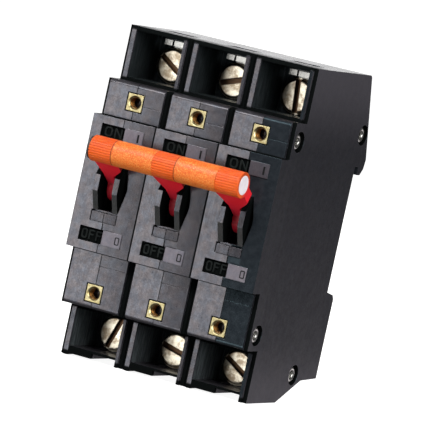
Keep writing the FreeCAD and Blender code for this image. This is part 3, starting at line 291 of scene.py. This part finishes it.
def case_look(name, right_half):
    """Dark thermoset with a satin, faintly mottled front. The right halves' shading normals lean a little,
    and the
    outermost one has a painted reflection: a darker bluish colour, a teal gloss tint and a quieter gloss,
    quieter still above the middle for the bar's painted shade."""
    g = Graph(name)
    shade_and_joint_black = srgb(11, 13, 13)
    worn = srgb(110, 108, 112)
    fin_facet_light = srgb(40, 41, 39)
    cloud = g.noise(0.22, 4)
    grain = g.noise(5.0, 2)
    speck = g.noise(1.6, 5, 0.7)
    mottle = g.noise(0.55, 6, 0.72)
    streak = g.noise(1.0, 4, 0.6, g.stretch(2.6, 2.6, 0.2))
    facing = g.node("ShaderNodeSeparateXYZ", {"Vector": g.normal()}).outputs
    flank = g.math("GREATER_THAN", g.math("ABSOLUTE", facing[0]), 0.7)
    shade_and_joints = case_shade(g, flank)
    chamber = chamber_mask(g)

    on_pad = all_of(g, [g.ramp(g.y, PANEL_Y - 0.12, PANEL_Y - 0.2), label_bands(g, 0.3),
                        g.between(g.pole_x, *PAD_X, SHARP)])
    plain = g.mix(cloud, srgb(30, 29, 32), srgb(40, 38, 42))
    plain = g.mix(g.ramp(speck, 0.55, 0.8), plain, srgb(50, 47, 50))
    # Painted shade: the pads of the upper row, towards +X, are painted darker, as in the bar's shade.
    shaded = all_of(g, [g.ramp(g.x, *SHADED_X), g.math("GREATER_THAN", g.z, 0)])
    pad = g.mix(shaded, srgb(84, 80, 87), srgb(50, 47, 52))
    plain = g.mix(on_pad, plain, pad)
    # Painted sheen: the flanks are painted lighter towards their top and bottom ends.
    flank_sheen = any_of(g, [g.ramp(g.z, *UPPER_END_Z), g.ramp(g.z, *LOWER_END_Z, 0.9, 0)])
    matt = g.mix(g.ramp(speck, 0.4, 0.7), srgb(24, 25, 29), srgb(31, 31, 37))
    matt = g.mix(flank_sheen, matt, srgb(61, 59, 64))
    plain = g.mix(flank, plain, matt)
    # Painted light: the fins' lower facets are painted a greenish grey for the light they catch.
    fin_low = all_of(g, [g.ramp(g.y, PANEL_Y - 0.15, PANEL_Y - 0.1, 1, 0),
                         g.between(g.z, FIN_LOW_Z, FIN_KNEE_Z, CRISP),
                         g.ramp(g.math("ABSOLUTE", g.pole_x), FIN_OUT, FIN_OUT + 0.1, 1, 0)])
    plain = g.mix(fin_low, plain, fin_facet_light)
    edge = g.math("MULTIPLY", g.edge_mask(0.16), g.ramp(speck, 0.3, 0.6))
    plain = g.mix(g.math("MULTIPLY", edge, 0.3), plain, worn)
    # Painted shade inside the terminal chambers: near black with faint streaks, painted lighter in the lower
    # chambers for the light from below.
    chamber_shade = g.mix(g.ramp(streak, 0.4, 0.65), srgb(24, 28, 29), srgb(42, 47, 49))
    lower = g.mix(g.ramp(streak, 0.4, 0.65), srgb(44, 48, 50), srgb(78, 84, 86))
    chamber_shade = g.mix(g.math("LESS_THAN", g.z, 0), chamber_shade, lower)
    colour = g.mix(chamber, plain, chamber_shade)
    # Painted shade: the shaded places, the seam joints and the label recesses are painted near black.
    colour = g.mix(shade_and_joints, colour, shade_and_joint_black)

    blotch = g.math("MULTIPLY_ADD", g.ramp(mottle, 0.3, 0.7), 0.2, g.math("MULTIPLY", streak, 0.25))
    blotch = g.math("MULTIPLY_ADD", g.noise(2.6, 3, 0.7), 0.5, blotch)
    gloss = g.math("ADD", blotch, -0.06)
    on_stop = all_of(g, [g.ramp(g.y, PANEL_Y - 0.2, PANEL_Y - 0.12, 1, 0), g.between(g.z, *STOP_Z, SHARP)])
    upward = g.math("MULTIPLY", g.ramp(facing[2], 0.2, 0.5), g.ramp(g.y, *LEDGES_Y, 1, 0))
    for zone, loss in ((on_stop, -0.35), (all_of(g, [on_pad, shaded]), -0.5), (shade_and_joints, -1.0), (flank, -0.8),
                       (chamber, -0.6), (upward, -0.6)):
        gloss = g.math("MULTIPLY", gloss, g.math("MULTIPLY_ADD", zone, loss, 1.0))
    gloss = g.math("MULTIPLY", gloss, g.ramp(g.y, WALL_Y - 0.6, WALL_Y - 0.4, 1.0, 0.8))
    rough = g.math("MULTIPLY_ADD", cloud, 0.12, 0.16)
    for zone, gain in ((on_pad, 0.2), (flank, 0.3), (upward, 0.12)):
        rough = g.math("MULTIPLY_ADD", zone, gain, rough)
    tint = g.mix(g.ramp(g.noise(0.4, 5, 0.65), 0.35, 0.65), (0.98, 0.9, 0.93, 1), (0.84, 0.88, 1.0, 1))

    normal = g.round_edge(0.14)
    if right_half:
        # Painted reflection and shade on the outermost pole's right half: a darker bluish colour, a teal
        # gloss tint, and gloss that drops towards the bar.
        outer_pole = all_of(g, [g.ramp(g.x, PITCH / 2 - 0.5, PITCH / 2),
                                g.ramp(g.y, PANEL_Y - 0.15, PANEL_Y - 0.1),
                                g.math("LESS_THAN", facing[1], -0.6), g.math("SUBTRACT", 1.0, shade_and_joints)])
        loss = g.ramp(g.z, *COOL_Z, -0.35, -0.68)
        gloss = g.math("MULTIPLY", gloss, g.math("MULTIPLY_ADD", outer_pole, loss, 1.0))
        lean = g.math("MULTIPLY_ADD", outer_pole, 0.12, 0.045)
        lean = g.math("MULTIPLY_ADD", g.pole_x, 0.003, lean)
        tip = g.math("MULTIPLY", g.math("LESS_THAN", facing[1], -0.7), lean)
        tipped = g.node("ShaderNodeCombineXYZ", {"X": tip})
        normal = g.vector("NORMALIZE", g.vector("ADD", normal, tipped.outputs[0]))
        tint = g.mix(outer_pole, tint, (0.58, 0.88, 1.0, 1))
        cool_reflection = g.mix(g.ramp(mottle, 0.35, 0.65), srgb(24, 27, 31), srgb(33, 36, 40))
        colour = g.mix(outer_pole, colour, cool_reflection)
    relief = g.math("MULTIPLY_ADD", grain, 0.6, g.math("MULTIPLY", speck, 0.6))
    return g.surface(Base_Color=colour, Roughness=rough, IOR=1.9, Specular_IOR_Level=gloss,
                     Specular_Tint=tint, Normal=g.bump(relief, 0.006, normal))


def handle_look(name, sleeve):
    """Orange moulding, lighter below, painted crimson down the web for its shade, with a painted shadow line
    at the barrels' ends; sleeves are mottled, with light flecks painted for their highlight.
    """
    g = Graph(name)
    across, above = g.math("SUBTRACT", g.y, BAR_AXIS[0]), g.math("SUBTRACT", g.z, BAR_AXIS[1])
    away = g.radius(across, above)
    down = g.math("MULTIPLY_ADD", across, WEB_WAY[0], g.math("MULTIPLY", above, WEB_WAY[1]))
    lines = g.noise(1.0, 4, 0.6, g.stretch(0.15, 7, 7))
    cloud = g.noise(0.45, 4, 0.65)
    if sleeve:
        colour = g.mix(g.ramp(cloud, 0.35, 0.7), srgb(190, 80, 18), srgb(194, 92, 28))
        colour = g.mix(g.ramp(above, 2, -3, 0, 0.85), colour, srgb(240, 122, 40))
        fleck_and_glint = g.noise(4.6, 2, 0.8)
        # Painted highlight: light yellowish flecks stand in for the sleeves' mottled highlight; the dark
        # flecks are mottling.
        colour = g.mix(g.ramp(fleck_and_glint, 0.54, 0.62), colour, srgb(226, 164, 86))
        colour = g.mix(g.ramp(fleck_and_glint, 0.46, 0.36), colour, srgb(190, 70, 16))
    else:
        colour = g.mix(g.ramp(cloud, 0.3, 0.7), srgb(190, 69, 6), srgb(197, 82, 11))
        colour = g.mix(g.ramp(above, 2, -3, 0, 0.85), colour, srgb(240, 102, 22))
        # Painted shade: down the web and away from the axis the orange deepens to crimson, for the web's
        # shade under the bar.
        colour = g.mix(g.ramp(down, 0.4, 3.4), colour, srgb(222, 34, 40))
        colour = g.mix(g.ramp(away, 3.5, 5.0), colour, srgb(236, 30, 48))
        colour = g.mix(g.ramp(away, 6.0, 14), colour, srgb(200, 36, 56))
        # Painted shadow: a dark band at each barrel's end, but not at the free end.
        rim_shadow = g.between(g.pole_x, BARREL_END - 0.22, BARREL_END + 0.1, 0.06)
        rim_shadow = g.math("MULTIPLY", rim_shadow, g.math("LESS_THAN", g.x, PITCH))
        colour = g.mix(g.math("MULTIPLY", rim_shadow, 0.75), colour, srgb(96, 22, 8))
    colour = g.mix(g.math("MULTIPLY", g.ramp(lines, 0.45, 0.7), 0.22), colour, srgb(200, 58, 18))
    relief = g.math("MULTIPLY_ADD", lines, 1.0, g.math("MULTIPLY", g.noise(4, 3), 0.5))
    rough = g.math("MULTIPLY_ADD", lines, 0.2, 0.3)
    return g.surface(Base_Color=colour, Roughness=rough, Specular_IOR_Level=0.3, Subsurface_Weight=0.12,
                     Subsurface_Radius=(0.9 * MM, 0.25 * MM, 0.1 * MM), Subsurface_Scale=1.0,
                     Normal=g.bump(relief, 0.02, g.round_edge(0.2)))


def moulded_look(name, low, high, rough, depth=0.012, scale=1.0, gloss=0.5):
    """Moulded plastic or fibre, clouded between two shades, with worn edges and fine grain."""
    g = Graph(name)
    cloud = g.noise(0.35 * scale, 5, 0.6)
    grain = g.noise(4.5 * scale, 3)
    flow = g.noise(0.9 * scale, 3, 0.5, g.stretch(0.3, 1, 2.6))
    colour = g.mix(g.ramp(cloud, 0.3, 0.7), low, high)
    colour = g.mix(g.math("MULTIPLY", g.edge_mask(0.15), 0.35), colour, high)
    shine = g.math("MULTIPLY_ADD", flow, 0.2, rough - 0.1)
    relief = g.math("MULTIPLY_ADD", grain, 0.7, g.math("MULTIPLY", flow, 0.5))
    return g.surface(Base_Color=colour, Roughness=shine, Specular_IOR_Level=gloss,
                     Normal=g.bump(relief, depth, g.round_edge(0.12)))


def metal_look(name, low, high, rough, streak=(1, 1, 12), depth=0.01, edge=0.1):
    """Rolled, drawn or plated metal with streaks along one direction and a thin clouded film."""
    g = Graph(name)
    streaks = g.noise(1.0, 4, 0.65, g.stretch(*streak))
    film = g.noise(0.5, 5, 0.6)
    colour = g.mix(g.ramp(film, 0.3, 0.75), high, low)
    colour = g.mix(g.math("MULTIPLY", g.edge_mask(edge), 0.5), colour, high)
    shine = g.math("ADD", g.math("MULTIPLY_ADD", streaks, 0.18, rough - 0.1),
                   g.math("MULTIPLY", g.ramp(film, 0.55, 0.8), 0.12))
    return g.surface(Base_Color=colour, Roughness=shine, Metallic=1.0,
                     Normal=g.bump(streaks, depth, g.round_edge(edge)))


def screw_look(name):
    """Nickel screw heads: lathe rings round each axis, slot walls painted dark for their shade, a warm film,
    and painted shade towards each head's left.
    """
    g = Graph(name)
    upper = g.math("GREATER_THAN", g.z, 0)
    middle = g.math("MULTIPLY_ADD", upper, SCREW_HEIGHTS[0] - SCREW_HEIGHTS[1], SCREW_HEIGHTS[1])
    away = g.radius(g.pole_x, g.math("SUBTRACT", g.z, middle))
    rings = g.math("SINE", g.math("MULTIPLY_ADD", away, 34, g.math("MULTIPLY", g.noise(1.2, 4), 5)))
    film = g.noise(0.55, 5, 0.65)
    speck = g.noise(3.2, 4, 0.7)
    colour = g.mix(g.ramp(film, 0.4, 0.62), srgb(228, 220, 200), srgb(160, 143, 120))
    colour = g.mix(g.ramp(speck, 0.6, 0.8), colour, srgb(104, 86, 68))
    # Painted shade: each head darkens towards its left, in the chamber's shadow.
    colour = g.mix(g.ramp(g.pole_x, 1, -4, 0, 0.45), colour, srgb(112, 98, 82))
    # Painted shade down the slot walls.
    deep = g.math("MULTIPLY", g.between(g.y, *SLOT_WALL_Y, 0.12), g.ramp(away, *SCREW_RIM, 1, 0))
    colour = g.mix(deep, colour, srgb(74, 56, 42))
    shine = g.math("MULTIPLY_ADD", film, 0.22, 0.2)
    relief = g.math("MULTIPLY_ADD", rings, 0.25, speck)
    return g.surface(Base_Color=colour, Roughness=shine, Metallic=1.0,
                     Normal=g.bump(relief, 0.006, g.round_edge(0.22)))


def insert_look(name):
    """Cast brass inserts, bright on the front face, brown down the threaded hole."""
    g = Graph(name)
    upper = g.math("GREATER_THAN", g.z, 0)
    middle = g.math("MULTIPLY_ADD", upper, INSERT_HEIGHTS[0] - INSERT_HEIGHTS[1], INSERT_HEIGHTS[1])
    away = g.radius(g.pole_x, g.math("SUBTRACT", g.z, middle))
    film = g.noise(0.9, 5, 0.6)
    brush = g.noise(1.0, 4, 0.6, g.stretch(9, 1, 1.2))
    colour = g.mix(g.ramp(film, 0.35, 0.7), srgb(176, 166, 128), srgb(150, 136, 92))
    hole = g.math("MULTIPLY", g.ramp(away, *INSERT_HOLE, 1, 0), g.ramp(g.y, NUT_Y + 0.05, NUT_Y + 0.7))
    colour = g.mix(hole, colour, srgb(112, 74, 34))
    colour = g.mix(g.math("MULTIPLY", g.edge_mask(0.2), 0.6), colour, srgb(196, 186, 150))
    shine = g.math("MULTIPLY_ADD", brush, 0.25, 0.22)
    return g.surface(Base_Color=colour, Roughness=shine, Metallic=1.0,
                     Normal=g.bump(brush, 0.012, g.round_edge(0.2)))


def floor_look(name):
    """Pale paper, evenly lit for the camera and quieter in reflections."""
    g = Graph(name)
    fibre = g.noise(0.08, 4)
    seen = g.node("ShaderNodeLightPath").outputs["Is Camera Ray"]
    pale = g.mix(fibre, (0.5, 0.5, 0.5, 1), (0.54, 0.54, 0.54, 1))
    colour = g.mix(seen, (0.12, 0.12, 0.12, 1), pale)
    diffuse = g.node("ShaderNodeBsdfDiffuse", {"Color": colour})
    strength = g.math("MULTIPLY_ADD", seen, 0.88, 0.05)
    glow = g.node("ShaderNodeEmission", {"Color": (1, 1, 1, 1), "Strength": strength})
    both = g.node("ShaderNodeAddShader", {0: diffuse.outputs[0], 1: glow.outputs[0]})
    g.node("ShaderNodeOutputMaterial", {"Surface": both.outputs[0]})
    return g.material


LOOKS = {
    "case_left": case_look("case_left", False),
    "case_right": case_look("case_right", True),
    "handle_plastic": handle_look("handle_plastic", False),
    "sleeve": handle_look("sleeve", True),
    "rod_plastic": moulded_look("rod_plastic", srgb(232, 222, 228), srgb(246, 240, 244), 0.42, 0.01),
    "ring_plastic": moulded_look("ring_plastic", srgb(14, 14, 15), srgb(34, 33, 34), 0.5),
    "latch_plastic": moulded_look("latch_plastic", srgb(30, 30, 32), srgb(52, 51, 53), 0.45),
    "bobbin_plastic": moulded_look("bobbin_plastic", srgb(176, 166, 140), srgb(204, 196, 172), 0.5),
    "fibre": moulded_look("fibre", srgb(118, 48, 38), srgb(150, 70, 56), 0.7, 0.03, 2.0),
    "insert": insert_look("insert"),
    "screw": screw_look("screw"),
    "brass": metal_look("brass", srgb(176, 140, 66), srgb(222, 190, 110), 0.32, (6, 6, 0.6)),
    "copper": metal_look("copper", srgb(160, 86, 58), srgb(222, 140, 104), 0.34, (0.6, 6, 0.6)),
    # The copper straps are painted near black: painted shade for the dark chambers they sit in.
    "strap": metal_look("strap", srgb(26, 18, 14), srgb(48, 34, 27), 0.5, (0.6, 6, 0.6)),
    "winding": metal_look("winding", srgb(110, 44, 24), srgb(176, 84, 46), 0.3, (1, 1, 8)),
    "silver": metal_look("silver", srgb(190, 188, 180), srgb(236, 234, 228), 0.3, (5, 5, 5)),
    "nickel": metal_look("nickel", srgb(150, 149, 145), srgb(178, 177, 172), 0.3, (6, 1, 1)),
    "plated_steel": metal_look("plated_steel", srgb(160, 160, 156), srgb(214, 213, 208), 0.36, (1, 6, 1)),
    "spring_steel": metal_look("spring_steel", srgb(120, 120, 122), srgb(196, 196, 198), 0.3, (8, 8, 1),
                               edge=0.04),
    "letter": moulded_look("letter", srgb(14, 17, 17), srgb(26, 30, 29), 0.55, 0.01, gloss=0.08),
    "mark": moulded_look("mark", srgb(13, 13, 14), srgb(25, 25, 26), 0.55, 0.01, gloss=0.1),
}
SLOT_OF = {row["node"]: row["material_slot"] for row in frame["record"]["subparts"]}
SPECIAL = {"terminal_screws": "screw", "case_rivets": "nickel", "clamp_plates": "nickel",
           "thread_inserts": "insert", "tie_sleeve_1": "sleeve", "tie_sleeve_2": "sleeve"}


def look_of(node_name):
    if node_name.startswith("case_left_"):
        return LOOKS["case_left"]
    if node_name.startswith("case_right_"):
        return LOOKS["case_right"]
    # The straps take the near-black strap look, painted shade for their dark chambers.
    if "_strap_" in node_name:
        return LOOKS["strap"]
    return LOOKS[SPECIAL.get(node_name, SLOT_OF[node_name])]


for node_name, cad in NODES.items():
    cad.data.materials.clear()
    cad.data.materials.append(look_of(node_name))


# ---------------------------------------------------------------- added pieces
def new_piece(name, mesh, look, body="case"):
    """A finished mesh becomes a piece that rides on a CAD body."""
    piece = bpy.data.objects.new(name, mesh)
    bpy.context.scene.collection.objects.link(piece)
    mesh.materials.append(LOOKS[look])
    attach(piece, body)
    return piece


def raised_outlines(name, outlines, centre_x, centre_z, front_y, back_y, bevel=0.05):
    """Flat outlines in (x, z), with holes where they nest, raised from back_y to front_y."""
    curve = bpy.data.curves.new(name, "CURVE")
    curve.dimensions = "2D"
    curve.fill_mode = "BOTH"
    curve.extrude = (back_y - front_y) / 2 - bevel
    curve.bevel_depth = bevel
    curve.offset = -bevel
    curve.bevel_resolution = 1
    for outline in outlines:
        line = curve.splines.new("POLY")
        line.points.add(len(outline) - 1)
        for point, (x, z) in zip(line.points, outline):
            point.co = (x, z, 0, 1)
        line.use_cyclic_u = True
    carrier = bpy.data.objects.new(name, curve)
    bpy.context.scene.collection.objects.link(carrier)
    bpy.context.view_layer.update()
    mesh = bpy.data.meshes.new_from_object(carrier.evaluated_get(bpy.context.evaluated_depsgraph_get()))
    bpy.data.objects.remove(carrier)
    mesh.name = name
    stand = Matrix.Rotation(math.radians(90), 4, "X")
    middle = Matrix.Translation((centre_x * MM, (front_y + back_y) / 2 * MM, centre_z * MM))
    mesh.transform(middle @ stand @ Matrix.Scale(MM, 4))
    return mesh


def oval(width, height, corner, steps=5):
    """Rectangle with rounded corners, counter-clockwise."""
    points = []
    for quarter, (sx, sz) in enumerate(((1, -1), (1, 1), (-1, 1), (-1, -1))):
        start = math.radians(90 * quarter - 90)
        for step in range(steps + 1):
            turn = start + math.radians(90) * step / steps
            points.append((sx * (width / 2 - corner) + corner * math.cos(turn),
                           sz * (height / 2 - corner) + corner * math.sin(turn)))
    return points


def shifted(outline, dx):
    return [(x + dx, z) for x, z in outline]


def letter_o(width, height, line):
    return [oval(width, height, width * 0.4), oval(width - 2 * line, height - 2 * line, width * 0.25)]


def letter_n(width, height, line):
    w, h = width / 2, height / 2
    slope = line * 1.5
    return [[(-w, -h), (-w + line, -h), (-w + line, h - slope), (w - line, -h), (w, -h), (w, h),
             (w - line, h), (w - line, -h + slope), (-w + line, h), (-w, h)]]


def letter_f(width, height, line):
    w, h = width / 2, height / 2
    return [[(-w, -h), (-w + line, -h), (-w + line, -line * 0.4), (w * 0.6, -line * 0.4),
             (w * 0.6, line * 0.6), (-w + line, line * 0.6), (-w + line, h - line), (w, h - line),
             (w, h), (-w, h)]]


def word(letters, width, height, line, gap):
    """Letters side by side about x = 0."""
    outlines = []
    start = -(len(letters) * width + (len(letters) - 1) * gap) / 2 + width / 2
    for place, letter in enumerate(letters):
        for outline in letter(width, height, line):
            outlines.append(shifted(outline, start + place * (width + gap)))
    return outlines


LETTER_HIGH = 2.7
LETTER_LINE = 0.42
LETTER_PROUD = 0.32
LABEL_MIDDLE = sum(LABEL_X) / 2
MARK_LINE = 0.26
MARK_Y = (PANEL_Y - 0.33, PANEL_Y - 0.22)
STROKE_WIDE, STROKE_HIGH = 0.5, 2.2
STROKE_X = 5.1
RING_WIDE, RING_HIGH = 1.35, 2.1
RING_X = 5.35


def label_pieces(pole_name, middle):
    """ON and OFF in the recesses, and the I and 0 marks on the pads beside them."""
    upper, lower = sum(UPPER_LABEL_Z) / 2, sum(LOWER_LABEL_Z) / 2
    on = word([letter_o, letter_n], 2.3, LETTER_HIGH, LETTER_LINE, 0.7)
    off = word([letter_o, letter_f, letter_f], 1.75, LETTER_HIGH, LETTER_LINE, 0.45)
    for title, outlines, height in (("on", on, upper), ("off", off, lower)):
        mesh = raised_outlines("word_" + title, outlines, middle + LABEL_MIDDLE, height,
                               RECESS_Y - LETTER_PROUD, RECESS_Y + 0.03)
        new_piece("word_%s_of_%s_pole" % (title, pole_name), mesh, "letter")
    stroke = [oval(STROKE_WIDE, STROKE_HIGH, 0.1)]
    ring = [oval(RING_WIDE, RING_HIGH, 0.3), oval(RING_WIDE - 2 * MARK_LINE, RING_HIGH - 2 * MARK_LINE, 0.14)]
    for title, outlines, height, x in (("i", stroke, upper, STROKE_X), ("0", ring, lower, RING_X)):
        mesh = raised_outlines("mark_" + title, outlines, middle + x, height, *MARK_Y, bevel=0.02)
        new_piece("mark_%s_of_%s_pole" % (title, pole_name), mesh, "mark")


def thread_mesh(name, middle_x, middle_z):
    """Inner thread of an insert: a V ridge wound along the hole."""
    root, crest, lead = THREAD_ROOT, THREAD_CREST, THREAD_LEAD
    start, end = THREAD_Y
    steps_per_turn = 36
    fade_steps = 9
    buried = root + 0.02
    turns = (end - start) / lead
    steps = int(turns * steps_per_turn)
    shape = bmesh.new()
    rows = []
    for step in range(steps + 1):
        turn = 2 * math.pi * step / steps_per_turn
        y = start + lead * step / steps_per_turn
        fade = min(1.0, step / fade_steps, (steps - step) / fade_steps)
        top = root - (root - crest) * fade
        row = [(buried, y - lead * 0.36), (top, y - 0.03), (top, y + 0.03), (buried, y + lead * 0.36)]
        rows.append([shape.verts.new(((middle_x + r * math.cos(turn)) * MM, h * MM,
                                      (middle_z + r * math.sin(turn)) * MM)) for r, h in row])
    for a, b in zip(rows, rows[1:]):
        for side in range(len(a)):
            after = (side + 1) % len(a)
            shape.faces.new((a[side], b[side], b[after], a[after]))
    shape.faces.new(rows[0])
    shape.faces.new(list(reversed(rows[-1])))
    bmesh.ops.recalc_face_normals(shape, faces=shape.faces)
    mesh = bpy.data.meshes.new(name)
    shape.to_mesh(mesh)
    shape.free()
    return mesh


for pole_name, pole in POLES.items():
    label_pieces(pole_name, pole * PITCH)
    for end_name, height in zip(("upper", "lower"), INSERT_HEIGHTS):
        thread_name = "%s_insert_thread_of_%s_pole" % (end_name, pole_name)
        new_piece(thread_name, thread_mesh(thread_name, pole * PITCH, height), "insert")


# ---------------------------------------------------------------- stage
LIGHT_AIM = (0, -0.03, 0)
ROOM_GREY = 0.13


def add_floor():
    """A pale sweep in metres: flat under the object, rising well behind it."""
    low = CAD_BOX[0].z - 0.2 * MM
    front, back, radius, height = -3.0, 1.6, 0.7, 2.4
    bend_steps = 12
    profile = [(front, 0.0), (back - radius, 0.0)]
    for step in range(1, bend_steps + 1):
        turn = math.radians(90 * step / bend_steps)
        profile.append((back - radius + radius * math.sin(turn), radius - radius * math.cos(turn)))
    profile.append((back, height))
    mesh = bpy.data.meshes.new("floor")
    shape = bmesh.new()
    rows = [[shape.verts.new((x, y, low + z)) for y, z in profile] for x in (-4.0, 4.0)]
    for i in range(len(profile) - 1):
        shape.faces.new((rows[0][i], rows[1][i], rows[1][i + 1], rows[0][i + 1])).smooth = True
    shape.to_mesh(mesh)
    shape.free()
    mesh.materials.append(floor_look("floor"))
    floor = bpy.data.objects.new("floor", mesh)
    bpy.context.scene.collection.objects.link(floor)
    floor.visible_glossy = False
    floor.visible_shadow = False


def add_light(name, azimuth, elevation, distance, width, height, power, colour=(1, 1, 1)):
    """A softbox seen from the object at the given azimuth (0 in front, 90 at +X) and elevation.
    Lengths are in metres and power in watts."""
    a, e = math.radians(azimuth), math.radians(elevation)
    out = Vector((math.sin(a) * math.cos(e), -math.cos(a) * math.cos(e), math.sin(e)))
    data = bpy.data.lights.new(name, "AREA")
    data.shape = "RECTANGLE"
    data.size, data.size_y = width, height
    data.energy = power
    data.color = colour
    lamp = bpy.data.objects.new(name, data)
    lamp.location = Vector(LIGHT_AIM) + out * distance
    lamp.rotation_mode = "QUATERNION"
    lamp.rotation_quaternion = out.to_track_quat("Z", "Y")
    lamp.visible_camera = False
    bpy.context.scene.collection.objects.link(lamp)


def add_world():
    """White for the camera, a soft grey room for everything else."""
    world = bpy.data.worlds.new("room")
    bpy.context.scene.world = world
    world.use_nodes = True
    tree = world.node_tree
    tree.nodes.clear()
    path = tree.nodes.new("ShaderNodeLightPath")
    strength = tree.nodes.new("ShaderNodeMapRange")
    strength.inputs["To Min"].default_value = ROOM_GREY
    strength.inputs["To Max"].default_value = 1.0
    tree.links.new(path.outputs["Is Camera Ray"], strength.inputs["Value"])
    background = tree.nodes.new("ShaderNodeBackground")
    tree.links.new(strength.outputs[0], background.inputs["Strength"])
    background.inputs["Color"].default_value = (1, 1, 1, 1)
    output = tree.nodes.new("ShaderNodeOutputWorld")
    tree.links.new(background.outputs[0], output.inputs["Surface"])


add_floor()
add_world()
add_light("key_softbox", azimuth=-34, elevation=-4, distance=0.6, width=0.3, height=0.44, power=1.15)
add_light("fill_softbox", azimuth=-12, elevation=44, distance=0.7, width=0.5, height=0.3, power=6.0)
add_light("right_softbox", azimuth=62, elevation=22, distance=0.9, width=0.5, height=0.7, power=8)
add_light("low_softbox", azimuth=-8, elevation=-38, distance=0.7, width=0.5, height=0.3, power=0.9)
add_light("left_softbox", azimuth=-104, elevation=24, distance=0.9, width=0.5, height=0.5, power=5)
add_light("back_card", azimuth=205, elevation=8, distance=0.8, width=0.6, height=0.22, power=0.5)
add_light("side_card", azimuth=154, elevation=-20, distance=0.5, width=0.3, height=0.2, power=0.3,
          colour=(1, 0.93, 0.98))

# ---------------------------------------------------------------- camera
CAMERA_AZIMUTH = 25.539
CAMERA_ELEVATION = 4.59
CAMERA_ROLL = 12.29
CAMERA_PLACE = (0.52027, -1.10881, 0.09508)
CAMERA_LENS = 375.07

camera = bpy.data.objects.new("camera", bpy.data.cameras.new("camera"))
camera.data.lens = CAMERA_LENS
camera.data.sensor_width = 36
camera.data.clip_start = 0.05
turn_up = Matrix.Rotation(math.radians(90 - CAMERA_ELEVATION), 4, "X")
turn_round = Matrix.Rotation(math.radians(CAMERA_AZIMUTH), 4, "Z")
roll = Matrix.Rotation(math.radians(CAMERA_ROLL), 4, "Z")
camera.matrix_world = Matrix.Translation(CAMERA_PLACE) @ turn_round @ turn_up @ roll
bpy.context.scene.collection.objects.link(camera)
bpy.context.scene.camera = camera
bpy.context.scene.view_settings.view_transform = "Standard"
